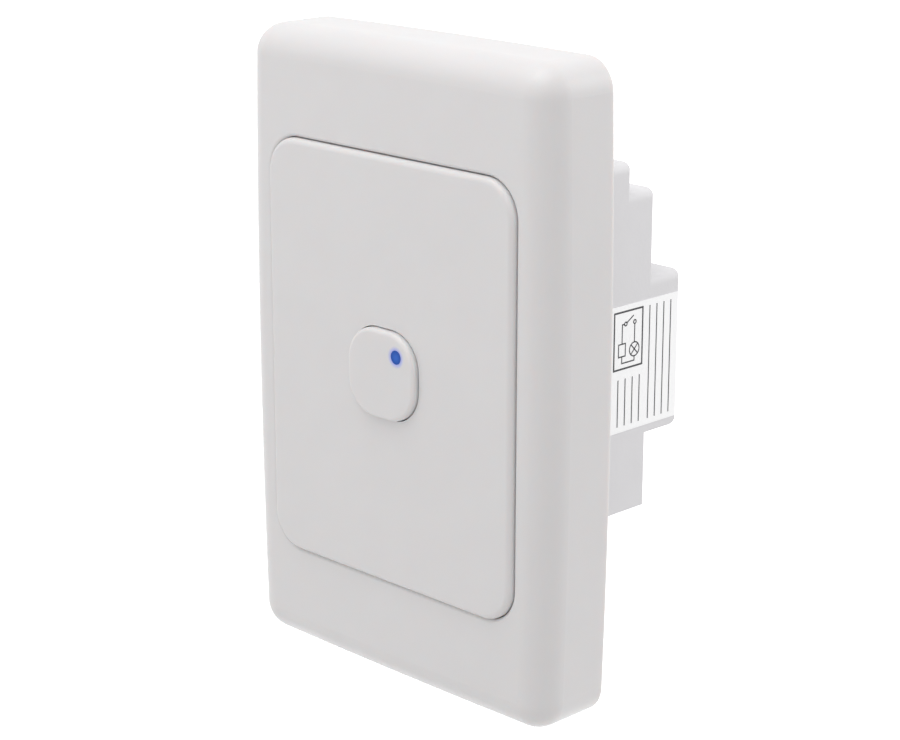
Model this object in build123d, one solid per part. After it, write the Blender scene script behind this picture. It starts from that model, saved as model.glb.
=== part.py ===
from build123d import *
import os

# Timer light switch for a wall, in millimetres.
# The wall is the plane y = 0 and the origin is midway between the two fixing holes.
# The front faces -Y, the housing goes back along +Y, and +Z is up.
# A level is a value of y, so a level further forward is a smaller number.

# Surround, the clip-on frame
surround_width = 76
surround_height = 116
surround_depth = 15.5
surround_side_bow = 1.0
surround_end_bow = 0.3
surround_corner_step = 0.2
surround_flat = 1.08
surround_wall = 2.2
window_side_border = 7.58
window_end_border = 19.28
window_corner_radius = 6.82
window_edge_radius = 0.8
window_gap = 0.12
window_lip_wall = 1.4
window_lip_length = 4.0
leg_width = 6.0
leg_thickness = 1.6
leg_shoulder = 1.2
leg_tip_gap = 0.5
leg_slot_gap = 0.3
leg_inset_x = 14.0
leg_inset_z = 4.2
prise_notch_width = 10.0
prise_notch_depth = 1.2

# Grid plate, which carries the raised panel
panel_edge_radius = 1.05
panel_rise = 0.9
panel_thickness = 1.9
pan_wall = 1.7
flange_side_gap = 0.8
flange_end_gap = 1.5
flange_corner_radius = 4.0
flange_thickness = 2.4
flange_stand_off = 1.6
flange_rim_wall = 1.6
fixing_panel_gap = 3.4
fixing_hole_radius = 2.1
fixing_boss_wall = 2.2
board_post_radius = 2.8
board_post_inset_x = 5.0
board_post_inset_top = 5.4
board_post_inset_bottom = 13.4
pilot_radius = 0.9
pilot_floor = 2.0

# Push button and its guide
button_width = 16.6
button_height = 16.05
button_lift = 0.35
button_corner_radius = 6.4
button_edge_radius = 0.75
button_rise = 1.25
button_face = 1.6
button_wall = 1.4
button_gap = 0.2
button_travel = 1.2
button_floor_gap = 2.5
guide_wall = 1.4
stop_gap = 0.3
stop_thickness = 1.0
stop_reach = 1.1
stem_radius = 1.8
stem_gap = 0.05
spring_seat_wall = 0.6
spring_seat_height = 0.8

# Indicator
lens_radius = 1.25
lens_side_inset = 4.2
lens_top_inset = 4.05
lens_led_gap = 0.2
led_width = 1.25
led_length = 2.0
led_height = 1.0

# Switch under the button
switch_size = 6.0
switch_height = 4.0
switch_floor = 0.9
plunger_radius = 1.4
plunger_gap = 0.05
plunger_rise = 1.5
plunger_base_gap = 0.1

# Return spring between the switch and the button
spring_wire_radius = 0.22
spring_gap = 0.35
spring_end_gap = 0.08
spring_turns = 4

# Control board, behind the panel
board_thickness = 1.6
board_flange_gap = 2.4
board_edge_gap = 1.6
board_bottom_gap = 9.9
board_hole_gap = 0.2
board_screw_radius = 0.85
board_screw_length = 5.0
board_screw_head_radius = 1.9
board_screw_head = 1.2
chip_size = 7.0
chip_height = 1.2
chip_gap = 2.0
resistor_length = 2.0
resistor_width = 1.2
resistor_height = 0.6
resistor_pitch = 3.0
resistor_count = 6
resistor_edge_gap = 2.0

# Rear housing
housing_side_margin = 3.3
housing_wall = 1.8
housing_flange_gap = 0.3
housing_flange = 2.0
housing_top_margin = 0.3
housing_bottom_margin = 9.2
first_step_depth = 18.7
first_step_height = 5.4
second_step_depth = 25.0
second_step_height = 15.9
block_depth = 32.6
ledge_depth = 24.15
ledge_height = 13.7
housing_step_radius = 1.8
housing_edge_radius = 0.4
tongue_width = 9.0
tongue_thickness = 1.0
tongue_reach = 1.2
tongue_inset = 12.0
tongue_gap = 0.2
housing_screw_radius = 1.4
housing_screw_length = 10.0
housing_screw_head_radius = 2.7
housing_screw_head = 1.1
housing_screw_gap = 0.2
housing_screw_inset = 10.0
housing_screw_drop = 4.4
screw_boss_radius = 3.0
driver_slot_width = 0.7
driver_slot_depth_share = 0.5
driver_slot_length_share = 0.65

# Power board inside the housing
power_board_level = 6.0
power_board_gap = 0.2
board_ledge_reach = 1.0
board_ledge_thickness = 1.4
board_hook_reach = 0.6
board_hook_thickness = 1.0
board_hook_height = 6.0

# Rating label on the housing's right side
label_thickness = 0.15
label_edge_gap = 0.1
label_depth = 22.0
label_top_gap = 4.0
label_bottom_gap = 1.5

# Terminals in the ledge
terminal_count = 4
terminal_side_gap = 1.2
terminal_block_height = 11.0
terminal_block_gap = 0.2
clamp_width = 6.4
clamp_gap = 0.1
clamp_floor = 1.4
clamp_roof = 1.6
clamp_front_wall = 2.0
clamp_setback = 2.6
wire_radius = 1.6
wire_inset = 2.4
wire_entry_radius = 2.3
wire_entry_step = 0.2
terminal_screw_radius = 1.5
terminal_screw_gap = 0.05
terminal_screw_head_radius = 2.2
terminal_screw_head = 1.6
driver_access_radius = 2.6

# Parts on the power board
# The shares are of the space inside: left, right, low and high.
# The lower space is the block's height inside, and the upper one lies above that.
relay_shares = (0.065, 0.69, 0.43, 0.9)
relay_depth = 15.7
film_shares = (0.065, 0.453, 0.05, 0.33)
film_depth = 15.0
smoothing_shares = (0.49, 0.73, 0.04, 0.37)
inductor_shares = (0.77, 0.93, 0.08, 0.32)
coil_lift = 0.3
rectifier_shares = (0.733, 0.909, 0.55, 0.78)
rectifier_depth = 3.4
fuse_shares = (0.06, 0.49)
upper_row_share = 0.58
fuse_radius = 2.5
fuse_cap_wall = 0.2
fuse_cap_length = 5.0
fuse_lift = 1.6
fuse_clip_width = 3.4
fuse_clip_wall = 0.8
dropper_shares = (0.54, 0.76)
dropper_radius = 2.0
dropper_lead = 1.6
dropper_lift = 1.0
varistor_share = 0.86
varistor_radius = 4.5
varistor_thickness = 4.0
varistor_lift = 1.0
lead_radius = 0.4
lead_spread = 5.0

# Link between the two boards
link_pin_count = 6
link_pin_pitch = 2.54
link_pin_width = 0.64
link_body_width = 2.5
link_body_height = 2.5
link_drop = 9.0

cut_overrun = 1.0
corner_tolerance = 0.01

# Levels, front to back
surround_front = -surround_depth
panel_front = surround_front - panel_rise
panel_back = panel_front + panel_thickness
button_front = panel_front - button_rise
button_face_back = button_front + button_face
housing_flange_front = -housing_flange
board_back = housing_flange_front - board_flange_gap
board_front = board_back - board_thickness
button_back = board_front - button_travel - button_floor_gap
stop_front = button_back - stop_thickness
guide_back = stop_front - stop_gap
pilot_front = panel_back + pilot_floor
switch_front = board_front - switch_height
plunger_front = switch_front - plunger_rise
led_front = board_front - led_height
flange_back = -flange_stand_off
flange_front = flange_back - flange_thickness
power_front = power_board_level
power_back = power_front + board_thickness

# Sizes that follow
surround_edge_radius = window_side_border - surround_side_bow - surround_flat
surround_corner_radius = surround_edge_radius + surround_corner_step
window_width = surround_width - 2 * window_side_border
window_height = surround_height - 2 * window_end_border
panel_width = window_width - 2 * window_gap
panel_height = window_height - 2 * window_gap
panel_corner_radius = window_corner_radius - window_gap
flange_width = surround_width - 2 * (surround_side_bow + surround_wall + flange_side_gap)
flange_height = surround_height - 2 * (surround_end_bow + surround_wall + flange_end_gap)
fixing_pitch = panel_height + 2 * fixing_panel_gap
window_lip_back = surround_front + surround_wall + window_lip_length
leg_x = flange_width / 2 - leg_inset_x
leg_z = flange_height / 2 - leg_inset_z
pan_inner_width = panel_width - 2 * pan_wall
pan_inner_height = panel_height - 2 * pan_wall
pan_inner_corner = panel_corner_radius - pan_wall
board_post_x = pan_inner_width / 2 - board_post_inset_x
board_post_top = pan_inner_height / 2 - board_post_inset_top
board_post_bottom = -pan_inner_height / 2 + board_post_inset_bottom
board_low = -pan_inner_height / 2 + board_bottom_gap
board_high = pan_inner_height / 2 - board_edge_gap
board_side = pan_inner_width / 2 - board_edge_gap
resistor_z = board_low + resistor_edge_gap + resistor_length / 2
chip_z = resistor_z + resistor_length / 2 + chip_gap + chip_size / 2
lens_x = button_width / 2 - lens_side_inset
lens_z = button_lift + button_height / 2 - lens_top_inset
spring_radius = stem_radius + spring_gap + spring_wire_radius
housing_flange_width = pan_inner_width - 2 * housing_flange_gap
housing_flange_height = pan_inner_height - 2 * housing_flange_gap
housing_flange_corner = pan_inner_corner - housing_flange_gap
housing_top = housing_flange_height / 2 - housing_top_margin
second_step_top = housing_top - first_step_height
block_top = second_step_top - second_step_height
housing_bottom = -housing_flange_height / 2 + housing_bottom_margin
block_bottom = housing_bottom + ledge_height
housing_side = housing_flange_width / 2 - housing_side_margin
inner_side = housing_side - housing_wall
inner_bottom = housing_bottom + housing_wall
inner_top = housing_top - housing_wall
housing_screw_z = -housing_flange_height / 2 + housing_screw_drop
housing_screw_x = housing_side - housing_screw_inset
tongue_x = housing_side - tongue_inset
label_top = block_top - label_top_gap
label_bottom = block_bottom + label_bottom_gap
label_back = block_depth - housing_edge_radius - label_edge_gap
terminal_back = ledge_depth - housing_wall - terminal_block_gap
terminal_bottom = inner_bottom + terminal_block_gap
terminal_top = terminal_bottom + terminal_block_height
clamp_back = terminal_back - clamp_setback
clamp_front = power_back + clamp_front_wall
clamp_bottom = terminal_bottom + clamp_floor
clamp_top = terminal_top - clamp_roof
wire_level = clamp_front + wire_inset
terminal_screw_z = (clamp_bottom + clamp_top) / 2
terminal_pitch = 2 * (inner_side - terminal_side_gap) / terminal_count
terminal_xs = [(i - (terminal_count - 1) / 2) * terminal_pitch for i in range(terminal_count)]
block_floor = block_bottom + housing_wall
upper_top = second_step_top - housing_wall
upper_row_z = block_top + upper_row_share * (upper_top - block_top)
fuse_cap_radius = fuse_radius + fuse_cap_wall
fuse_level = power_back + fuse_lift + fuse_cap_radius
link_z = inner_top - link_drop


def centred(middle, size):
    """The low and high value of a stretch of this size about its middle."""
    return (middle - size / 2, middle + size / 2)


def block(x_range, y_range, z_range):
    """A box between low and high values along each axis."""
    ranges = (x_range, y_range, z_range)
    sizes = [high - low for low, high in ranges]
    middle = [(high + low) / 2 for low, high in ranges]
    return Pos(*middle) * Box(*sizes)


def prism(outline, back, front):
    """An outline, drawn with x across and y up, made solid from its back level to its front level."""
    plane = Plane(origin=(0, back, 0), x_dir=(1, 0, 0), z_dir=(0, -1, 0))
    return extrude(plane * outline, amount=back - front)


def rod(radius, x, z, back, front):
    """A round rod along Y."""
    return prism(Pos(x, z) * Circle(radius), back, front)


def rod_across(radius, x_range, level, z):
    """A round rod along X."""
    low, high = x_range
    return Pos((low + high) / 2, level, z) * Rot(0, 90, 0) * Cylinder(radius, high - low)


def rod_upright(radius, x, level, z_range):
    """A round rod along Z."""
    low, high = z_range
    return Pos(x, level, (low + high) / 2) * Cylinder(radius, high - low)


def front_edges(solid):
    """The edges round a solid's frontmost face."""
    return solid.faces().sort_by(Axis.Y)[0].edges()


def bowed_rectangle(width, height, side_bow, end_bow, corner_radius):
    """A rectangle whose sides bulge outwards. Width and height are measured at the middle."""
    x = width / 2 - side_bow
    z = height / 2 - end_bow
    top = ThreePointArc((-x, z), (0, height / 2), (x, z))
    right = ThreePointArc((x, z), (width / 2, 0), (x, -z))
    bottom = ThreePointArc((x, -z), (0, -height / 2), (-x, -z))
    left = ThreePointArc((-x, -z), (-width / 2, 0), (-x, z))
    face = make_face([top, right, bottom, left])
    return fillet(face.vertices(), corner_radius)


def button_outline(growth):
    """The push button's outline, grown outwards all round."""
    return Pos(0, button_lift) * RectangleRounded(
        button_width + 2 * growth,
        button_height + 2 * growth,
        button_corner_radius + growth,
    )


def surround_outline(shrink):
    """The surround's outer outline, drawn in all round."""
    return bowed_rectangle(
        surround_width - 2 * shrink,
        surround_height - 2 * shrink,
        surround_side_bow,
        surround_end_bow,
        surround_corner_radius - shrink,
    )


def leg_places():
    """Middles of the surround's four legs."""
    return [(x, z) for x in (-leg_x, leg_x) for z in (-leg_z, leg_z)]


def surround_cover():
    skin_back = surround_front + surround_wall
    outer = prism(surround_outline(0), 0, surround_front)
    outer = fillet(front_edges(outer), surround_edge_radius)
    cavity = prism(surround_outline(surround_wall), cut_overrun, skin_back)
    cavity = fillet(front_edges(cavity), surround_edge_radius - surround_wall)
    lip_width = window_width + 2 * window_lip_wall
    lip_height = window_height + 2 * window_lip_wall
    lip_corner = window_corner_radius + window_lip_wall
    lip = prism(RectangleRounded(lip_width, lip_height, lip_corner), window_lip_back, skin_back)
    window_outline = RectangleRounded(window_width, window_height, window_corner_radius)
    window = prism(window_outline, window_lip_back + cut_overrun, surround_front - cut_overrun)
    cover = outer - cavity + lip - window
    front = cover.faces().sort_by(Axis.Y)[0]
    cover = fillet(front.inner_wires()[0].edges(), window_edge_radius)
    shoulder_width = leg_width + 2 * leg_shoulder
    shoulder_thickness = leg_thickness + 2 * leg_shoulder
    for x, z in leg_places():
        cover += block(
            centred(x, shoulder_width),
            (skin_back - surround_wall / 2, flange_front),
            centred(z, shoulder_thickness),
        )
        cover += block(
            centred(x, leg_width),
            (flange_front - cut_overrun, -leg_tip_gap),
            centred(z, leg_thickness),
        )
    notch = block(
        centred(0, prise_notch_width),
        (-prise_notch_depth, cut_overrun),
        (-surround_height / 2 - cut_overrun, -surround_height / 2 + surround_wall + cut_overrun),
    )
    return cover - notch


def grid_plate():
    panel = RectangleRounded(panel_width, panel_height, panel_corner_radius)
    pan = prism(panel, 0, panel_front)
    pan = fillet(front_edges(pan), panel_edge_radius)
    flange_outline = RectangleRounded(flange_width, flange_height, flange_corner_radius)
    rim_inner = RectangleRounded(
        flange_width - 2 * flange_rim_wall,
        flange_height - 2 * flange_rim_wall,
        flange_corner_radius - flange_rim_wall,
    )
    flange = prism(flange_outline, 0, flange_front)
    flange -= prism(rim_inner, cut_overrun, flange_back)
    plate = pan + flange
    for z in centred(0, fixing_pitch):
        plate += rod(fixing_hole_radius + fixing_boss_wall, 0, z, 0, flange_back)
    inside = RectangleRounded(pan_inner_width, pan_inner_height, pan_inner_corner)
    plate -= prism(inside, cut_overrun, panel_back)
    for z in centred(0, fixing_pitch):
        plate -= rod(fixing_hole_radius, 0, z, cut_overrun, flange_front - cut_overrun)
    plate += prism(button_outline(button_gap + guide_wall), guide_back, panel_back)
    plate -= prism(button_outline(button_gap), guide_back + cut_overrun, panel_front - cut_overrun)
    for x, z in board_post_places():
        plate += rod(board_post_radius, x, z, board_front, panel_back)
        plate -= rod(pilot_radius, x, z, board_front + cut_overrun, pilot_front)
    for x in (-housing_screw_x, housing_screw_x):
        plate += rod(screw_boss_radius, x, housing_screw_z, housing_flange_front, panel_back)
        plate -= rod(
            housing_screw_radius,
            x,
            housing_screw_z,
            housing_flange_front + cut_overrun,
            -housing_screw_length - housing_screw_gap,
        )
    slot_width = leg_width + 2 * leg_slot_gap
    slot_thickness = leg_thickness + 2 * leg_slot_gap
    for x, z in leg_places():
        plate -= block(
            centred(x, slot_width),
            (flange_front - cut_overrun, cut_overrun),
            centred(z, slot_thickness),
        )
    for x in (-tongue_x, tongue_x):
        plate -= block(
            centred(x, tongue_width + 2 * tongue_gap),
            (housing_flange_front - tongue_gap, housing_flange_front + tongue_thickness + tongue_gap),
            (pan_inner_height / 2 - cut_overrun, housing_flange_height / 2 + tongue_reach + tongue_gap),
        )
    return plate


def board_post_places():
    """Middles of the four posts that carry the control board."""
    return [
        (x, z)
        for x in (-board_post_x, board_post_x)
        for z in (board_post_bottom, board_post_top)
    ]


def push_button():
    cap = prism(button_outline(0), button_back, button_front)
    cap = fillet(front_edges(cap), button_edge_radius)
    cap += prism(button_outline(stop_reach), button_back, stop_front)
    cap -= prism(button_outline(-button_wall), button_back + cut_overrun, button_face_back)
    seat_inner = spring_radius + spring_wire_radius + stem_gap
    seat_back = button_face_back + spring_seat_height
    cap += rod(seat_inner + spring_seat_wall, 0, button_lift, seat_back, button_face_back)
    cap -= rod(seat_inner, 0, button_lift, seat_back + cut_overrun, button_face_back)
    cap += rod(stem_radius, 0, button_lift, plunger_front - stem_gap, button_face_back)
    lens_range = (button_face_back + cut_overrun, button_front - cut_overrun)
    return cap - rod(lens_radius, lens_x, lens_z, *lens_range)


def indicator_lens():
    lens_back = led_front - button_travel - lens_led_gap
    return rod(lens_radius, lens_x, lens_z, lens_back, button_front)


def indicator_led():
    return block(
        centred(lens_x, led_width),
        (led_front, board_front),
        centred(lens_z, led_length),
    )


def button_spring():
    start = switch_front - spring_wire_radius - spring_end_gap
    finish = button_face_back + spring_wire_radius + spring_end_gap
    height = start - finish
    path = Helix(height / spring_turns, height, spring_radius)
    wire = sweep((path ^ 0) * Circle(spring_wire_radius), path=path)
    return Pos(0, start, button_lift) * Rot(90, 0, 0) * wire


def push_switch_body():
    body = block(
        centred(0, switch_size),
        (switch_front, board_front),
        centred(button_lift, switch_size),
    )
    return body - rod(
        plunger_radius + plunger_gap,
        0,
        button_lift,
        board_front - switch_floor,
        switch_front - cut_overrun,
    )


def push_switch_plunger():
    plunger_back = board_front - switch_floor - button_travel - plunger_base_gap
    return rod(plunger_radius, 0, button_lift, plunger_back, plunger_front)


def control_board():
    board = block((-board_side, board_side), (board_front, board_back), (board_low, board_high))
    for x, z in board_post_places():
        board -= rod(
            board_screw_radius + board_hole_gap,
            x,
            z,
            board_back + cut_overrun,
            board_front - cut_overrun,
        )
    return board


def board_screw(x, z):
    shank = rod(board_screw_radius, x, z, board_back, board_back - board_screw_length)
    head = rod(board_screw_head_radius, x, z, board_back + board_screw_head, board_back)
    return cut_driver_slot(shank + head, x, z, board_back, board_screw_head_radius, board_screw_head)


def cut_driver_slot(screw, x, z, seat, head_radius, head_height):
    """Cuts a cross slot in the back of a screw head that rises from its seat level."""
    slot_depth = head_height * driver_slot_depth_share
    levels = (seat + head_height - slot_depth, seat + head_height + cut_overrun)
    long_side = 2 * head_radius * driver_slot_length_share
    screw -= block(centred(x, long_side), levels, centred(z, driver_slot_width))
    return screw - block(centred(x, driver_slot_width), levels, centred(z, long_side))


def control_board_screws():
    return Compound(children=[board_screw(x, z) for x, z in board_post_places()])


def microcontroller():
    return block(
        centred(0, chip_size),
        (board_front - chip_height, board_front),
        centred(chip_z, chip_size),
    )


def chip_resistors():
    middle = (resistor_count - 1) / 2
    resistors = []
    for i in range(resistor_count):
        x = (i - middle) * resistor_pitch
        resistors.append(
            block(
                centred(x, resistor_width),
                (board_front - resistor_height, board_front),
                centred(resistor_z, resistor_length),
            )
        )
    return Compound(children=resistors)


def stepped_profile(wall):
    """The housing seen from its side, with each face drawn in by the wall."""
    points = [
        (0, housing_bottom + wall),
        (ledge_depth - wall, housing_bottom + wall),
        (ledge_depth - wall, block_bottom + wall),
        (block_depth - wall, block_bottom + wall),
        (block_depth - wall, block_top - wall),
        (second_step_depth - wall, block_top - wall),
        (second_step_depth - wall, second_step_top - wall),
        (first_step_depth - wall, second_step_top - wall),
        (first_step_depth - wall, housing_top - wall),
        (0, housing_top - wall),
    ]
    return make_face(Polyline(*points, close=True))


def is_outer_step(vertex):
    """True at the rounded outer corners of the housing's steps, seen from the side."""
    corners = [
        (block_depth, block_bottom),
        (block_depth, block_top),
        (second_step_depth, second_step_top),
        (first_step_depth, housing_top),
    ]
    return any(
        abs(vertex.X - depth) < corner_tolerance and abs(vertex.Y - height) < corner_tolerance
        for depth, height in corners
    )


def housing_tier(top, bottom, depth):
    """One tier of the housing, back from the wall, its top and rear edges rounded at the sides."""
    outline = Pos(0, (top + bottom) / 2) * Rectangle(2 * housing_side, top - bottom)
    outline = fillet(outline.vertices().group_by(Axis.Y)[-1], housing_step_radius)
    plan = Pos(0, depth / 2) * Rectangle(2 * housing_side, depth)
    plan = fillet(plan.vertices().group_by(Axis.Y)[-1], housing_edge_radius)
    height = top - bottom + 2 * cut_overrun
    return prism(outline, depth, 0) & (Pos(0, 0, bottom - cut_overrun) * extrude(plan, amount=height))


def rear_housing():
    profile = stepped_profile(0)
    rounded = [vertex for vertex in profile.vertices() if is_outer_step(vertex)]
    profile = fillet(rounded, housing_step_radius)
    body = housing_tier(housing_top, housing_bottom, first_step_depth)
    body += housing_tier(second_step_top, block_bottom, second_step_depth)
    body += housing_tier(block_top, block_bottom, block_depth)
    body += housing_tier(block_top, housing_bottom, ledge_depth)
    body &= extrude(Plane.YZ * profile, amount=housing_side + cut_overrun, both=True)
    flange_outline = RectangleRounded(housing_flange_width, housing_flange_height, housing_flange_corner)
    body += prism(flange_outline, 0, housing_flange_front)
    cavity = extrude(Plane.YZ * stepped_profile(housing_wall), amount=inner_side, both=True)
    cavity += block(
        (-inner_side, inner_side),
        (housing_flange_front - cut_overrun, cut_overrun),
        (inner_bottom, inner_top),
    )
    body -= cavity
    for x in (-tongue_x, tongue_x):
        body += block(
            centred(x, tongue_width),
            (housing_flange_front, housing_flange_front + tongue_thickness),
            (inner_top + housing_wall / 2, housing_flange_height / 2 + tongue_reach),
        )
    for side in (-1, 1):
        body += board_ledge(side)
        body += board_hook(side)
        body -= screw_hole(side * housing_screw_x)
    for x in terminal_xs:
        body -= rod(driver_access_radius, x, terminal_screw_z, ledge_depth + cut_overrun, terminal_back)
        entry = (housing_bottom - cut_overrun, terminal_bottom)
        body -= rod_upright(wire_entry_radius, x, wire_level, entry)
    return body


def board_ledge(side):
    """A ledge along a side wall, which the power board rests on from the front."""
    reach = sorted((side * (inner_side - board_ledge_reach), side * (inner_side + housing_wall / 2)))
    return block(
        tuple(reach),
        (power_back, power_back + board_ledge_thickness),
        (terminal_top + terminal_block_gap, block_top),
    )


def board_hook(side):
    """A hook on a side wall, in front of the power board's edge."""
    reach = sorted((side * (inner_side - board_hook_reach), side * (inner_side + housing_wall / 2)))
    return block(
        tuple(reach),
        (power_front - board_hook_thickness, power_front),
        centred((block_top + block_bottom) / 2, board_hook_height),
    )


def screw_hole(x):
    """The stepped hole in the housing's flange that takes a housing screw."""
    shank = rod(
        housing_screw_radius + housing_screw_gap,
        x,
        housing_screw_z,
        cut_overrun,
        housing_flange_front - cut_overrun,
    )
    head = rod(
        housing_screw_head_radius + housing_screw_gap,
        x,
        housing_screw_z,
        cut_overrun,
        -housing_screw_head,
    )
    return shank + head


def housing_screw(x):
    shank = rod(housing_screw_radius, x, housing_screw_z, -housing_screw_head, -housing_screw_length)
    head = rod(housing_screw_head_radius, x, housing_screw_z, 0, -housing_screw_head)
    return cut_driver_slot(
        shank + head,
        x,
        housing_screw_z,
        -housing_screw_head,
        housing_screw_head_radius,
        housing_screw_head,
    )


def rating_label():
    return block(
        (housing_side, housing_side + label_thickness),
        (label_back - label_depth, label_back),
        (label_bottom, label_top),
    )


def power_board():
    return block(
        (-inner_side + power_board_gap, inner_side - power_board_gap),
        (power_front, power_back),
        (inner_bottom + power_board_gap, inner_top - power_board_gap),
    )


def across(share):
    """A place along X, as a share of the housing's inner width."""
    return inner_side * (2 * share - 1)


def up(share):
    """A height, as a share of the space between the block's floor and its top."""
    return block_floor + share * (block_top - block_floor)


def board_part(shares, depth):
    """A part's box on the power board, within its left, right, low and high shares."""
    left, right, low, high = shares
    return block((across(left), across(right)), (power_back, power_back + depth), (up(low), up(high)))


def lying_part(shares):
    """A round part that lies along X on the power board, within its shares, on two short leads."""
    left, right, low, high = shares
    radius = (up(high) - up(low)) / 2
    middle = (up(high) + up(low)) / 2
    level = power_back + coil_lift + radius
    part = rod_across(radius, (across(left), across(right)), level, middle)
    for x in (across(left) + 2 * lead_radius, across(right) - 2 * lead_radius):
        part += rod(lead_radius, x, middle, level, power_back)
    return part


def relay():
    return board_part(relay_shares, relay_depth)


def film_capacitor():
    return board_part(film_shares, film_depth)


def smoothing_capacitor():
    return lying_part(smoothing_shares)


def supply_inductor():
    return lying_part(inductor_shares)


def rectifier():
    return board_part(rectifier_shares, rectifier_depth)


def varistor():
    x = across(varistor_share)
    level = power_back + varistor_lift + varistor_radius
    disc = rod_across(varistor_radius, centred(x, varistor_thickness), level, upper_row_z)
    for z in centred(upper_row_z, lead_spread):
        disc += rod(lead_radius, x, z, level, power_back)
    return disc


def fuse_range():
    """The fuse's stretch along X."""
    left, right = fuse_shares
    return (across(left), across(right))


def fuse_end_ranges():
    """Where the fuse's two end caps lie along X."""
    left, right = fuse_range()
    return [(left, left + fuse_cap_length), (right - fuse_cap_length, right)]


def fuse_tube():
    return rod_across(fuse_radius, fuse_range(), fuse_level, upper_row_z)


def fuse_caps():
    caps = []
    for ends in fuse_end_ranges():
        cap = rod_across(fuse_cap_radius, ends, fuse_level, upper_row_z)
        caps.append(cap - rod_across(fuse_radius, ends, fuse_level, upper_row_z))
    return Compound(children=caps)


def fuse_clips():
    clips = []
    reach = fuse_cap_radius + fuse_clip_wall
    for low, high in fuse_end_ranges():
        middle = (low + high) / 2
        clip = block(
            centred(middle, fuse_clip_width),
            (power_back, fuse_level),
            centred(upper_row_z, 2 * reach),
        )
        clips.append(clip - rod_across(fuse_cap_radius, (low, high), fuse_level, upper_row_z))
    return Compound(children=clips)


def dropper_resistor():
    left, right = dropper_shares
    lead_range = (across(left), across(right))
    level = power_back + dropper_lift + dropper_radius
    body_range = (lead_range[0] + dropper_lead, lead_range[1] - dropper_lead)
    resistor = rod_across(dropper_radius, body_range, level, upper_row_z)
    resistor += rod_across(lead_radius, lead_range, level, upper_row_z)
    for x in lead_range:
        resistor += rod(lead_radius, x, upper_row_z, level + lead_radius, power_back)
    return resistor


def link_header():
    length = link_pin_count * link_pin_pitch
    return block(
        centred(0, length),
        (power_front - link_body_height, power_front),
        centred(link_z, link_body_width),
    ) - link_pins()


def link_places():
    """Middles of the link's pins along X."""
    middle = (link_pin_count - 1) / 2
    return [(i - middle) * link_pin_pitch for i in range(link_pin_count)]


def link_pin(x):
    return block(
        centred(x, link_pin_width),
        (board_back, power_front),
        centred(link_z, link_pin_width),
    )


def link_pins():
    return Compound(children=[link_pin(x) for x in link_places()])


def terminal_block():
    width = terminal_count * terminal_pitch
    body = block(centred(0, width), (power_back, terminal_back), (terminal_bottom, terminal_top))
    for x in terminal_xs:
        body -= block(
            centred(x, clamp_width + 2 * clamp_gap),
            (clamp_front - clamp_gap, clamp_back + clamp_gap),
            (clamp_bottom, clamp_top + clamp_gap),
        )
        body -= rod(
            terminal_screw_head_radius + clamp_gap,
            x,
            terminal_screw_z,
            terminal_back + cut_overrun,
            clamp_back,
        )
        entry_radius = wire_entry_radius + wire_entry_step
        body -= rod_upright(entry_radius, x, wire_level, (terminal_bottom - cut_overrun, clamp_bottom))
    return body


def terminal_clamp(x):
    clamp = block(
        centred(x, clamp_width),
        (clamp_front, clamp_back),
        (clamp_bottom, clamp_top),
    )
    wire_range = (clamp_bottom - cut_overrun, terminal_screw_z + wire_radius)
    clamp -= rod_upright(wire_radius, x, wire_level, wire_range)
    return clamp - rod(
        terminal_screw_radius + terminal_screw_gap,
        x,
        terminal_screw_z,
        clamp_back + cut_overrun,
        wire_level,
    )


def terminal_screw(x):
    seat = terminal_back - terminal_screw_head
    shank = rod(terminal_screw_radius, x, terminal_screw_z, seat, wire_level + wire_radius)
    head = rod(terminal_screw_head_radius, x, terminal_screw_z, terminal_back, seat)
    slot = block(
        centred(x, 2 * terminal_screw_head_radius + cut_overrun),
        (terminal_back - terminal_screw_head * driver_slot_depth_share, terminal_back + cut_overrun),
        centred(terminal_screw_z, driver_slot_width),
    )
    return shank + head - slot


pieces = {
    "surround_cover": surround_cover(),
    "grid_plate": grid_plate(),
    "push_button": push_button(),
    "indicator_lens": indicator_lens(),
    "indicator_led": indicator_led(),
    "button_spring": button_spring(),
    "push_switch_body": push_switch_body(),
    "push_switch_plunger": push_switch_plunger(),
    "control_board": control_board(),
    "control_board_screws": control_board_screws(),
    "microcontroller": microcontroller(),
    "chip_resistors": chip_resistors(),
    "rear_housing": rear_housing(),
    "housing_screw_left": housing_screw(-housing_screw_x),
    "housing_screw_right": housing_screw(housing_screw_x),
    "rating_label": rating_label(),
    "power_board": power_board(),
    "relay": relay(),
    "film_capacitor": film_capacitor(),
    "smoothing_capacitor": smoothing_capacitor(),
    "supply_inductor": supply_inductor(),
    "rectifier": rectifier(),
    "varistor": varistor(),
    "fuse_tube": fuse_tube(),
    "fuse_caps": fuse_caps(),
    "fuse_clips": fuse_clips(),
    "dropper_resistor": dropper_resistor(),
    "link_header": link_header(),
    "link_pins": link_pins(),
    "terminal_block": terminal_block(),
}
for number, x in enumerate(terminal_xs, start=1):
    pieces[f"terminal_clamp_{number}"] = terminal_clamp(x)
    pieces[f"terminal_screw_{number}"] = terminal_screw(x)

os.makedirs("parts", exist_ok=True)
for name, piece in pieces.items():
    export_step(piece, f"parts/{name}.step")
    print(name, round(piece.volume, 1))
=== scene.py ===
from math import cos, pi, radians, sin

import bmesh
import bpy
from mathutils import Matrix, Vector


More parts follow.
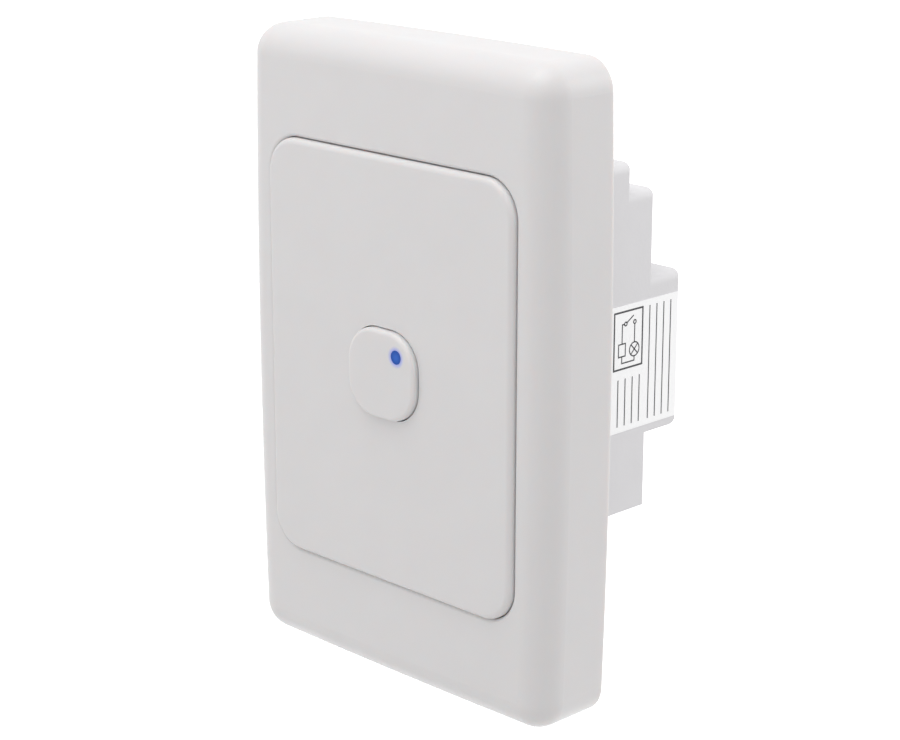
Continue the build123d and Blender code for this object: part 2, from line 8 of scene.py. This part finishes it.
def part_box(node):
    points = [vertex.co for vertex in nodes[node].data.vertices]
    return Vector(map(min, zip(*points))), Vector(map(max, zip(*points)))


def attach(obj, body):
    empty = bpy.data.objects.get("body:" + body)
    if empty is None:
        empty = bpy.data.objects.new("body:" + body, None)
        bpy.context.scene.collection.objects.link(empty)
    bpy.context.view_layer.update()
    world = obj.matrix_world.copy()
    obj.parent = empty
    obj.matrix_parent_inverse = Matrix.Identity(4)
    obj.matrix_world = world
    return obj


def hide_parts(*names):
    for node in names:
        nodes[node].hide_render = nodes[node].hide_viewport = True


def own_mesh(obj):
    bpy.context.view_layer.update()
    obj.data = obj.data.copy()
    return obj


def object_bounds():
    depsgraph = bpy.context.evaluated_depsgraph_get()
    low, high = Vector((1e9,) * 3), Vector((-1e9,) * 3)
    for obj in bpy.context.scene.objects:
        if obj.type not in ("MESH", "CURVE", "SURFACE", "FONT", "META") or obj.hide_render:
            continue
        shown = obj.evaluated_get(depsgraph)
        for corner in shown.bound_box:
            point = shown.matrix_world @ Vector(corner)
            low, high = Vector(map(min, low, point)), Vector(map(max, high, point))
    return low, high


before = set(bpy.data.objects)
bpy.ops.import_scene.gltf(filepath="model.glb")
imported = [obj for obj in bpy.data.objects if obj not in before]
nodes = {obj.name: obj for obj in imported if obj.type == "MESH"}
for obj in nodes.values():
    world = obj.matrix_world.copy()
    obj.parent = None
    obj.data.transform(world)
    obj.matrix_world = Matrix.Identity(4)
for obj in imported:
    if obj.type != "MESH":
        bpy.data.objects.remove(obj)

# The looks of a wall timer switch, in metres, in the frame of its CAD model.
# The front faces -Y, the wall is y = 0 and +Z is up.

cad_low, cad_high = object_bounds()

# Camera
camera_azimuth = radians(45.331)
camera_elevation = radians(16.299)
camera_roll = radians(0.052)
camera_distance = 0.42646
camera_aim_right = -0.000326
camera_aim_up = -0.002254
camera_lens = 95.5
camera_sensor = 36.0
camera_clip_start = 0.01

# Light
ambient = 0.77
background_strength = 1.0
floor_drop = 0.6
floor_size = 16.0
floor_glow = 0.8
floor_grey = (0.82, 0.82, 0.82)
floor_roughness = 0.9

# Whites, as linear colours, and the label's painted glow, which makes it brighter than its lamps do
white = (1.0, 1.0, 1.0)
front_white = (0.735, 0.72, 0.722)
housing_white = (0.77, 0.76, 0.775)
label_white = (0.95, 0.95, 0.955)
label_painted_glow = 0.1

# Metals and inner plastics, as linear colours
steel_grey = (0.62, 0.62, 0.64)
brass_yellow = (0.72, 0.5, 0.2)
nickel_grey = (0.66, 0.64, 0.6)
terminal_grey = (0.32, 0.33, 0.34)
moulding_black = (0.02, 0.02, 0.022)
ink_black = (0.03, 0.03, 0.035)
led_cream = (0.8, 0.8, 0.74)
nylon_cream = (0.6, 0.56, 0.48)
ceramic_white = (0.82, 0.8, 0.74)
relay_blue = (0.02, 0.06, 0.3)
film_yellow = (0.72, 0.47, 0.03)
capacitor_navy = (0.02, 0.025, 0.045)
inductor_black = (0.02, 0.02, 0.02)
varistor_blue = (0.02, 0.09, 0.33)
resistor_brown = (0.2, 0.12, 0.07)

# Roughness of the white plastics, from their glossiest to their dullest places
satin = (0.3, 0.38)
matt = (0.48, 0.6)

# The middle range of a noise, which holds nearly all its values
noise_low = 0.3
noise_high = 0.7

# Patches and smears of a moulding, as noise scales
patch_scale = 60.0
smear_scale = 180.0
button_smear_scale = 220.0

# Size and depth of the grain of the surround and the panel
front_grain = 0.0006
front_grain_depth = 0.000006

# Light scattered under the surface of white plastic
scatter_weight = 0.7
scatter_shares = (1.0, 0.75, 0.65)
front_scatter_depth = 0.0012
panel_scatter_depth = 0.0004

# Indicator: a blue light guide, and the halo of its light that is painted into the button's colour
lens_core_low = (0.025, 0.095, 0.4)
lens_core_high = (0.032, 0.11, 0.44)
lens_rim = (0.02, 0.075, 0.34)
lens_core_reach = 0.0002
lens_rim_reach = 0.00125
lens_glow_middle = 0.3
lens_glow_rim = 0.2
lens_specular = 0.12
lens_gloss = (0.45, 0.55)
lens_cloud_scale = 1500.0
lens_cloud_depth = 0.00001
painted_halo_blue = (0.44, 0.47, 0.92)
halo_start = 0.0012
halo_end = 0.0021
halo_share = 0.95
button_mottle = 0.01
button_grain_scale = 1800.0
button_grain_depth = 0.000006

# Circuit board: solder mask over copper tracks
mask_dark = (0.012, 0.11, 0.04)
mask_light = (0.018, 0.15, 0.055)
track_dark = (0.03, 0.24, 0.09)
track_light = (0.04, 0.29, 0.11)
track_cell_scale = 230.0
track_cell_disorder = 0.8
track_pitch_share = 0.16
track_edge_start = 0.07
track_edge_end = 0.09
track_depth = 0.00003
board_weave_scale = 900.0
board_gloss = (0.25, 0.4)
board_edge_radius = 0.0001

# Metal
stain_scale = 700.0
brush_stretch = (1.0, 0.12, 1.0)
stain_dark = 0.88
stain_light = 1.06
metal_edge_radius = 0.00012
bevel_samples = 4

# Wound spring, whose closed turns have their pitch in wire radii
spring_wire_radius = 0.00022
spring_turns = 6
closed_turn_pitch = 2.1
wire_sides = 14
steps_per_turn = 36

# Print on the rating label: a plain wiring sketch in a frame, and blank ruled lines
ink_thickness = 0.00002
ink_sink = 0.000005
rule_width = 0.00024
frame_width = 0.00034
sketch_width = 0.0075
sketch_height = 0.0104
sketch_back_gap = 0.0095
print_end_gap = 0.0011
rule_pitch = 0.0019
back_rules = 4
front_rules = 4
front_rule_shift = 0.3
ring_parts = 32
lamp_radius_share = 0.17
contact_radius_share = 0.045


def new_material(name):
    """A named material with its nodes, its links and its surface shader."""
    material = bpy.data.materials.new(name)
    material.use_nodes = True
    tree = material.node_tree
    return material, tree.nodes, tree.links, tree.nodes["Principled BSDF"]


def place_vector(nodes_of):
    """The output that gives each point's place on its piece."""
    return nodes_of.new("ShaderNodeTexCoord").outputs["Object"]


def noise(nodes_of, links, place, scale, detail=3.0):
    """A noise over the place, as an output from 0 to 1."""
    node = nodes_of.new("ShaderNodeTexNoise")
    node.inputs["Scale"].default_value = scale
    node.inputs["Detail"].default_value = detail
    links.new(place, node.inputs["Vector"])
    return node.outputs["Fac"]


def ramp(nodes_of, links, value, low, high):
    """The value's middle range stretched to run from low to high."""
    node = nodes_of.new("ShaderNodeMapRange")
    node.inputs["From Min"].default_value = noise_low
    node.inputs["From Max"].default_value = noise_high
    node.inputs["To Min"].default_value = low
    node.inputs["To Max"].default_value = high
    links.new(value, node.inputs["Value"])
    return node.outputs["Result"]


def mix_colors(nodes_of, links, share, first, second):
    """A blend from the first colour to the second, each a colour or an output."""
    node = nodes_of.new("ShaderNodeMix")
    node.data_type = "RGBA"
    links.new(share, node.inputs["Factor"])
    for socket, color in ((node.inputs[6], first), (node.inputs[7], second)):
        if isinstance(color, tuple):
            socket.default_value = (*color, 1.0)
        else:
            links.new(color, socket)
    return node.outputs[2]


def shade(color, factor):
    """The colour made lighter or darker."""
    return tuple(min(1.0, part * factor) for part in color)


def bump(nodes_of, links, shader, height, distance, edge_radius=0.0):
    """Gives the shader a bump of this depth, over edges that look rounded by the radius."""
    node = nodes_of.new("ShaderNodeBump")
    node.inputs["Strength"].default_value = 1.0
    node.inputs["Distance"].default_value = distance
    links.new(height, node.inputs["Height"])
    if edge_radius:
        soft_edge = nodes_of.new("ShaderNodeBevel")
        soft_edge.samples = bevel_samples
        soft_edge.inputs["Radius"].default_value = edge_radius
        links.new(soft_edge.outputs["Normal"], node.inputs["Normal"])
    links.new(node.outputs["Normal"], shader.inputs["Normal"])


def soften(shader, depth):
    """Lets light scatter to this depth under the surface, as it does in white plastic."""
    if depth:
        shader.inputs["Subsurface Weight"].default_value = scatter_weight
        shader.inputs["Subsurface Radius"].default_value = scatter_shares
        shader.inputs["Subsurface Scale"].default_value = depth


def plastic(name, color, gloss, grain, depth, mottle=0.015, edge_radius=0.0, scatter=0.0):
    """Moulded plastic: a mottled colour, an uneven gloss and a fine grain of this size and depth."""
    material, nodes_of, links, shader = new_material(name)
    soften(shader, scatter)
    place = place_vector(nodes_of)
    patches = noise(nodes_of, links, place, patch_scale)
    dark = shade(color, 1 - mottle)
    light = shade(color, 1 + mottle)
    links.new(mix_colors(nodes_of, links, patches, dark, light), shader.inputs["Base Color"])
    smears = noise(nodes_of, links, place, smear_scale, detail=5.0)
    links.new(ramp(nodes_of, links, smears, *gloss), shader.inputs["Roughness"])
    grains = noise(nodes_of, links, place, 1 / grain, detail=2.0)
    bump(nodes_of, links, shader, grains, depth, edge_radius)
    return material


def metal(name, color, gloss, brush, depth):
    """Bright metal with fine brushed lines and a stained gloss."""
    material, nodes_of, links, shader = new_material(name)
    shader.inputs["Metallic"].default_value = 1.0
    place = place_vector(nodes_of)
    stretch = nodes_of.new("ShaderNodeMapping")
    stretch.inputs["Scale"].default_value = brush_stretch
    links.new(place, stretch.inputs["Vector"])
    stains = noise(nodes_of, links, place, stain_scale, detail=4.0)
    dark = shade(color, stain_dark)
    light = shade(color, stain_light)
    links.new(mix_colors(nodes_of, links, stains, dark, light), shader.inputs["Base Color"])
    lines = noise(nodes_of, links, stretch.outputs["Vector"], 1 / brush, detail=2.0)
    links.new(ramp(nodes_of, links, lines, *gloss), shader.inputs["Roughness"])
    bump(nodes_of, links, shader, lines, depth, metal_edge_radius)
    return material


def dress(material, *names):
    """Puts the material on CAD nodes."""
    for name in names:
        for material_slot in nodes[name].material_slots:
            material_slot.material = material


def distance_from_axis(nodes_of, links, place, x, z):
    """How far each point lies from a line along Y through this x and z."""
    offset = nodes_of.new("ShaderNodeVectorMath")
    offset.operation = "SUBTRACT"
    links.new(place, offset.inputs[0])
    offset.inputs[1].default_value = (x, 0.0, z)
    flatten = nodes_of.new("ShaderNodeVectorMath")
    flatten.operation = "MULTIPLY"
    flatten.inputs[1].default_value = (1.0, 0.0, 1.0)
    links.new(offset.outputs["Vector"], flatten.inputs[0])
    length = nodes_of.new("ShaderNodeVectorMath")
    length.operation = "LENGTH"
    links.new(flatten.outputs["Vector"], length.inputs[0])
    return length.outputs["Value"]


def span(nodes_of, links, value, start, end, low, high):
    """A smooth passage from low to high as the value goes from start to end."""
    node = nodes_of.new("ShaderNodeMapRange")
    node.interpolation_type = "SMOOTHSTEP"
    node.inputs["From Min"].default_value = start
    node.inputs["From Max"].default_value = end
    node.inputs["To Min"].default_value = low
    node.inputs["To Max"].default_value = high
    links.new(value, node.inputs["Value"])
    return node.outputs["Result"]


def node_middle(name):
    """The middle of a CAD node's box."""
    low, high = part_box(name)
    return (Vector(low) + Vector(high)) / 2


def add_piece(name, mesh, material, body):
    """Puts a new piece in the scene, on its body, with its finish."""
    piece = bpy.data.objects.new(name, mesh)
    bpy.context.scene.collection.objects.link(piece)
    mesh.materials.append(material)
    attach(piece, body)
    return piece


def make_camera():
    """The camera at the photographed angle, aimed a little off the origin."""
    right = Vector((cos(camera_azimuth), sin(camera_azimuth), 0.0))
    back = Vector((sin(camera_azimuth), -cos(camera_azimuth), 0.0))
    away = back * cos(camera_elevation) + Vector((0.0, 0.0, sin(camera_elevation)))
    up = away.cross(right)
    aim = right * camera_aim_right + up * camera_aim_up
    data = bpy.data.cameras.new("camera")
    data.lens = camera_lens
    data.sensor_width = camera_sensor
    data.clip_start = camera_clip_start
    camera = bpy.data.objects.new("camera", data)
    bpy.context.scene.collection.objects.link(camera)
    axes = Matrix((right, up, away)).transposed().to_4x4()
    camera.matrix_world = Matrix.Translation(aim + away * camera_distance) @ axes
    camera.matrix_world = camera.matrix_world @ Matrix.Rotation(camera_roll, 4, "Z")
    bpy.context.scene.camera = camera


def make_light(name, azimuth, elevation, reach, size, power):
    """A soft square light that faces the object. Azimuth 0 is the front and 90 the right."""
    azimuth = radians(azimuth)
    elevation = radians(elevation)
    away = Vector((sin(azimuth) * cos(elevation), -cos(azimuth) * cos(elevation), sin(elevation)))
    data = bpy.data.lights.new(name, "AREA")
    data.shape = "SQUARE"
    data.size = size
    data.energy = power
    light = bpy.data.objects.new(name, data)
    bpy.context.scene.collection.objects.link(light)
    light.location = away * reach
    light.rotation_euler = away.to_track_quat("Z", "Y").to_euler()


def background_share(nodes_of, links):
    """1 for the rays that see the background directly, in a reflection or through something clear."""
    path = nodes_of.new("ShaderNodeLightPath")
    share = path.outputs["Is Camera Ray"]
    for name in ("Is Glossy Ray", "Is Transmission Ray"):
        node = nodes_of.new("ShaderNodeMath")
        node.operation = "MAXIMUM"
        links.new(share, node.inputs[0])
        links.new(path.outputs[name], node.inputs[1])
        share = node.outputs[0]
    return share


def make_world():
    """A white background, and an even light from all round."""
    world = bpy.data.worlds.new("studio")
    bpy.context.scene.world = world
    world.use_nodes = True
    tree = world.node_tree
    share = background_share(tree.nodes, tree.links)
    strength = span(tree.nodes, tree.links, share, 0.0, 1.0, ambient, background_strength)
    tree.links.new(strength, tree.nodes["Background"].inputs["Strength"])
    tree.nodes["Background"].inputs["Color"].default_value = (*white, 1.0)


def make_floor():
    """A pale floor well below the object, which hangs free of it."""
    mesh = bpy.data.meshes.new("floor")
    half = floor_size / 2
    level = cad_low[2] - floor_drop
    corners = [(-half, -half, level), (half, -half, level), (half, half, level), (-half, half, level)]
    mesh.from_pydata(corners, [], [(0, 1, 2, 3)])
    floor = bpy.data.objects.new("floor", mesh)
    bpy.context.scene.collection.objects.link(floor)
    material, nodes_of, links, shader = new_material("floor_paper")
    shader.inputs["Base Color"].default_value = (*floor_grey, 1.0)
    shader.inputs["Roughness"].default_value = floor_roughness
    shader.inputs["Emission Color"].default_value = (*white, 1.0)
    share = background_share(nodes_of, links)
    glow = span(nodes_of, links, share, 0.0, 1.0, 0.0, floor_glow)
    links.new(glow, shader.inputs["Emission Strength"])
    mesh.materials.append(material)


def button_material():
    """The button's plastic, with a pale blue halo of the indicator's light painted into its colour round
    the lens.
    """
    material, nodes_of, links, shader = new_material("button_moulding")
    soften(shader, front_scatter_depth)
    place = place_vector(nodes_of)
    patches = noise(nodes_of, links, place, patch_scale)
    dark = shade(front_white, 1 - button_mottle)
    light = shade(front_white, 1 + button_mottle)
    plain = mix_colors(nodes_of, links, patches, dark, light)
    lens = node_middle("indicator_lens")
    reach = distance_from_axis(nodes_of, links, place, lens.x, lens.z)
    # Painted light: the indicator's glow is a blue tint in the button's base colour.
    halo = span(nodes_of, links, reach, halo_start, halo_end, halo_share, 0.0)
    tint = mix_colors(nodes_of, links, halo, plain, painted_halo_blue)
    links.new(tint, shader.inputs["Base Color"])
    smears = noise(nodes_of, links, place, button_smear_scale, detail=5.0)
    links.new(ramp(nodes_of, links, smears, *satin), shader.inputs["Roughness"])
    grains = noise(nodes_of, links, place, button_grain_scale, detail=2.0)
    bump(nodes_of, links, shader, grains, button_grain_depth)
    return material


def lens_material():
    """Blue light guide with a dull face, a little brighter at its middle, where light shines through."""
    material, nodes_of, links, shader = new_material("blue_light_guide")
    place = place_vector(nodes_of)
    lens = node_middle("indicator_lens")
    reach = distance_from_axis(nodes_of, links, place, lens.x, lens.z)
    clouds = noise(nodes_of, links, place, lens_cloud_scale)
    middle = span(nodes_of, links, reach, lens_core_reach, lens_rim_reach, 1.0, 0.0)
    core = mix_colors(nodes_of, links, clouds, lens_core_low, lens_core_high)
    tint = mix_colors(nodes_of, links, middle, lens_rim, core)
    links.new(tint, shader.inputs["Base Color"])
    links.new(tint, shader.inputs["Emission Color"])
    glow = span(nodes_of, links, reach, 0.0, lens_rim_reach, lens_glow_middle, lens_glow_rim)
    links.new(glow, shader.inputs["Emission Strength"])
    shader.inputs["Specular IOR Level"].default_value = lens_specular
    links.new(ramp(nodes_of, links, clouds, *lens_gloss), shader.inputs["Roughness"])
    bump(nodes_of, links, shader, clouds, lens_cloud_depth)
    return material


def label_material():
    """Bright white label stock, with a faint painted glow that makes it brighter than its lighting does.
    """
    material = plastic("label_paper", label_white, gloss=(0.35, 0.45), grain=0.0005, depth=0.000004)
    shader = material.node_tree.nodes["Principled BSDF"]
    # Painted light: a faint glow that lifts the label above the brightness its lighting gives.
    shader.inputs["Emission Color"].default_value = (*label_white, 1.0)
    shader.inputs["Emission Strength"].default_value = label_painted_glow
    return material


def board_material():
    """Green circuit board: solder mask over copper tracks that nest in diamonds."""
    material, nodes_of, links, shader = new_material("circuit_board")
    place = place_vector(nodes_of)
    cells = nodes_of.new("ShaderNodeTexVoronoi")
    cells.distance = "MANHATTAN"
    cells.feature = "F1"
    cells.inputs["Scale"].default_value = track_cell_scale
    cells.inputs["Randomness"].default_value = track_cell_disorder
    links.new(place, cells.inputs["Vector"])
    bands = nodes_of.new("ShaderNodeMath")
    bands.operation = "PINGPONG"
    links.new(cells.outputs["Distance"], bands.inputs[0])
    bands.inputs[1].default_value = track_pitch_share
    tracks = span(nodes_of, links, bands.outputs[0], track_edge_start, track_edge_end, 0.0, 1.0)
    weave = noise(nodes_of, links, place, board_weave_scale)
    mask = mix_colors(nodes_of, links, weave, mask_dark, mask_light)
    copper = mix_colors(nodes_of, links, weave, track_dark, track_light)
    links.new(mix_colors(nodes_of, links, tracks, mask, copper), shader.inputs["Base Color"])
    links.new(ramp(nodes_of, links, weave, *board_gloss), shader.inputs["Roughness"])
    bump(nodes_of, links, shader, tracks, track_depth, board_edge_radius)
    return material


def coil_reach(turn, length):
    """How far along its axis the coil has come at this turn. Its first and last turns lie closed."""
    closed = closed_turn_pitch * spring_wire_radius
    if turn < 1:
        return turn * closed
    if turn > spring_turns - 1:
        return length - (spring_turns - turn) * closed
    return closed + (turn - 1) * (length - 2 * closed) / (spring_turns - 2)


def coil_mesh(name, start, radius, length):
    """A wound spring along Y from the middle of its first turn."""
    mesh = bpy.data.meshes.new(name)
    work = bmesh.new()
    along = Vector((0.0, 1.0, 0.0))
    rings = []
    for step in range(spring_turns * steps_per_turn + 1):
        turn = step / steps_per_turn
        angle = 2 * pi * turn
        out = Vector((cos(angle), 0.0, sin(angle)))
        reach = coil_reach(turn, length)
        centre = start + out * radius + along * reach
        ring = []
        for part in range(wire_sides):
            around = 2 * pi * part / wire_sides
            offset = (out * cos(around) + along * sin(around)) * spring_wire_radius
            ring.append(work.verts.new(centre + offset))
        rings.append(ring)
    for first, second in zip(rings, rings[1:]):
        for part in range(wire_sides):
            following = (part + 1) % wire_sides
            work.faces.new((first[part], first[following], second[following], second[part]))
    work.faces.new(rings[0])
    work.faces.new(list(reversed(rings[-1])))
    bmesh.ops.recalc_face_normals(work, faces=work.faces)
    for face in work.faces:
        face.smooth = len(face.verts) == 4
    work.to_mesh(mesh)
    work.free()
    return mesh


def make_spring():
    """The wound wire of the button's spring, as long as the CAD spring's box, in place of that node."""
    low, high = (Vector(corner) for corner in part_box("button_spring"))
    radius = (high.x - low.x) / 2 - spring_wire_radius
    material = metal("spring_wire", steel_grey, gloss=(0.18, 0.34), brush=0.0002, depth=0.000004)
    middle = node_middle("button_spring")
    start = Vector((middle.x, low.y + spring_wire_radius, middle.z))
    mesh = coil_mesh("button_spring_wire", start, radius, high.y - low.y - 2 * spring_wire_radius)
    spring = add_piece("button_spring_wire", mesh, material, "base")
    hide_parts("button_spring")
    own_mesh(spring)


def printed_line(work, points, level, width, closed=False):
    """A solid line of ink on the label through points of depth and height, mitred at its corners."""
    rings = []
    for index, point in enumerate(points):
        steps = []
        if closed or index > 0:
            steps.append((point - points[index - 1]).normalized())
        if closed or index < len(points) - 1:
            steps.append((points[(index + 1) % len(points)] - point).normalized())
        first, last = steps[0], steps[-1]
        across = Vector((-first.y - last.y, first.x + last.x)) / (1 + first.dot(last)) * width / 2
        corners = []
        for side, height in ((-1, -ink_sink), (-1, ink_thickness), (1, ink_thickness), (1, -ink_sink)):
            place = point + side * across
            corners.append(work.verts.new((level + height, place.x, place.y)))
        rings.append(corners)
    pairs = list(zip(rings, rings[1:]))
    if closed:
        pairs.append((rings[-1], rings[0]))
    else:
        work.faces.new(rings[0])
        work.faces.new(rings[-1])
    for near, far in pairs:
        for part in range(4):
            following = (part + 1) % 4
            work.faces.new((near[part], near[following], far[following], far[part]))


def print_ring(work, middle, radius, level, width):
    """A printed circle."""
    points = []
    for part in range(ring_parts):
        angle = 2 * pi * part / ring_parts
        points.append(middle + Vector((cos(angle), sin(angle))) * radius)
    printed_line(work, points, level, width, closed=True)


def print_sketch(work, front, bottom, level):
    """The wiring sketch: a timer's box, a switch and a lamp in one loop, inside a frame."""

    def at(across_share, up_share):
        return Vector((front + across_share * sketch_width, bottom + up_share * sketch_height))

    def line(*shares, closed=False, width=rule_width):
        printed_line(work, [at(*share) for share in shares], level, width, closed)

    lamp_radius = lamp_radius_share * sketch_width
    contact_radius = contact_radius_share * sketch_width
    lamp = at(0.72, 0.3)
    line((0, 0), (1, 0), (1, 1), (0, 1), closed=True, width=frame_width)
    line((0.16, 0.22), (0.4, 0.22), (0.4, 0.44), (0.16, 0.44), closed=True)
    line((0.28, 0.44), (0.28, 0.78), (0.36, 0.78))
    line((0.42, 0.79), (0.68, 0.9))
    line((0.72, 0.74), (0.72, 0.42))
    line((0.28, 0.22), (0.28, 0.1), (0.72, 0.1), (0.72, 0.18))
    for place in (at(0.4, 0.78), at(0.72, 0.78)):
        print_ring(work, place, contact_radius, level, rule_width)
    print_ring(work, lamp, lamp_radius, level, rule_width)
    for side in (-1, 1):
        arm = Vector((side, 1.0)).normalized() * (lamp_radius - rule_width / 2)
        printed_line(work, [lamp - arm, lamp + arm], level, rule_width)


def make_label_print():
    """The label's ink: the sketch at its upper front, long rules behind it and short ones below."""
    low, high = (Vector(corner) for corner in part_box("rating_label"))
    top = high.z - print_end_gap
    foot = low.z + print_end_gap
    sketch_back = high.y - sketch_back_gap
    sketch_bottom = top - sketch_height
    mesh = bpy.data.meshes.new("label_print")
    work = bmesh.new()
    print_sketch(work, sketch_back - sketch_width, sketch_bottom, high.x)
    rules = []
    for count in range(1, back_rules + 1):
        rules.append((sketch_back + count * rule_pitch, top))
    for count in range(front_rules):
        rules.append((sketch_back - (count + front_rule_shift) * rule_pitch, sketch_bottom - rule_pitch))
    for depth, end in rules:
        printed_line(work, [Vector((depth, foot)), Vector((depth, end))], high.x, rule_width)
    bmesh.ops.recalc_face_normals(work, faces=work.faces)
    work.to_mesh(mesh)
    work.free()
    ink = plastic("label_ink", ink_black, gloss=(0.4, 0.55), grain=0.0003, depth=0.000002, mottle=0.1)
    add_piece("label_print", mesh, ink, "base")


def dress_front():
    """The pieces that the room sees: surround, panel, button and indicator."""
    for finish, node, scatter in (
        ("surround_moulding", "surround_cover", front_scatter_depth),
        ("panel_moulding", "grid_plate", panel_scatter_depth),
    ):
        dress(plastic(finish, front_white, satin, front_grain, front_grain_depth, scatter=scatter), node)
    dress(button_material(), "push_button")
    dress(lens_material(), "indicator_lens")


def dress_housing():
    """The housing, its label and its terminal block."""
    housing = plastic(
        "housing_moulding",
        housing_white,
        gloss=matt,
        grain=0.0004,
        depth=0.00002,
        mottle=0.02,
        edge_radius=0.0002,
    )
    dress(housing, "rear_housing")
    dress(label_material(), "rating_label")
    terminal = plastic(
        "terminal_moulding",
        terminal_grey,
        gloss=(0.45, 0.58),
        grain=0.0004,
        depth=0.00001,
        mottle=0.04,
        edge_radius=0.0002,
    )
    dress(terminal, "terminal_block")


def dress_metals():
    """Screws, terminal clamps, pins, and the fuse's caps and clips."""
    zinc = metal("zinc_steel", steel_grey, gloss=(0.25, 0.4), brush=0.0003, depth=0.000006)
    dress(zinc, "control_board_screws", "housing_screw_left", "housing_screw_right")
    brass = metal("clip_brass", brass_yellow, gloss=(0.2, 0.36), brush=0.0003, depth=0.000006)
    dress(brass, "fuse_clips", "link_pins")
    for number in (1, 2, 3, 4):
        dress(zinc, f"terminal_screw_{number}")
        dress(brass, f"terminal_clamp_{number}")
    nickel = metal("nickel_plate", nickel_grey, gloss=(0.12, 0.25), brush=0.0002, depth=0.000004)
    dress(nickel, "fuse_caps")


def dress_electronics():
    """The two boards and what they carry."""
    dress(board_material(), "control_board", "power_board")
    black = plastic(
        "black_moulding",
        moulding_black,
        gloss=(0.4, 0.55),
        grain=0.0003,
        depth=0.00001,
        mottle=0.2,
        edge_radius=0.0001,
    )
    dress(black, "push_switch_body", "microcontroller", "chip_resistors", "rectifier", "link_header")
    led = plastic("led_body", led_cream, gloss=(0.15, 0.25), grain=0.0004, depth=0.000004)
    dress(led, "indicator_led")
    nylon = plastic("natural_nylon", nylon_cream, gloss=(0.4, 0.5), grain=0.0004, depth=0.00001)
    dress(nylon, "push_switch_plunger")
    relay = plastic(
        "relay_case",
        relay_blue,
        gloss=(0.35, 0.5),
        grain=0.0004,
        depth=0.00001,
        mottle=0.08,
        edge_radius=0.0003,
    )
    dress(relay, "relay")
    film = plastic(
        "film_case",
        film_yellow,
        gloss=(0.2, 0.32),
        grain=0.0006,
        depth=0.000008,
        mottle=0.04,
        edge_radius=0.0003,
    )
    dress(film, "film_capacitor")
    coated = (
        ("capacitor_sleeve", "smoothing_capacitor", capacitor_navy, (0.15, 0.28), 0.0008, 0.000008, 0.1),
        ("inductor_sleeve", "supply_inductor", inductor_black, (0.4, 0.6), 0.0006, 0.00003, 0.15),
        ("varistor_coating", "varistor", varistor_blue, (0.35, 0.5), 0.0009, 0.00004, 0.1),
        ("resistor_coating", "dropper_resistor", resistor_brown, (0.55, 0.7), 0.0005, 0.00003, 0.12),
    )
    for finish, node, color, gloss, grain, depth, mottle in coated:
        dress(plastic(finish, color, gloss, grain, depth, mottle), node)
    ceramic = plastic("fuse_ceramic", ceramic_white, gloss=(0.3, 0.42), grain=0.0003, depth=0.000006)
    dress(ceramic, "fuse_tube")


bpy.context.scene.view_settings.view_transform = "Standard"
make_camera()
make_world()
make_floor()
make_light("left_light", azimuth=-40.0, elevation=-15.0, reach=1.6, size=0.9, power=1.2)
make_light("back_light", azimuth=155.0, elevation=15.0, reach=1.6, size=0.9, power=5.2)
make_light("top_light", azimuth=0.0, elevation=72.0, reach=0.5, size=0.4, power=1.04)
dress_front()
dress_housing()
dress_metals()
dress_electronics()
make_spring()
make_label_print()
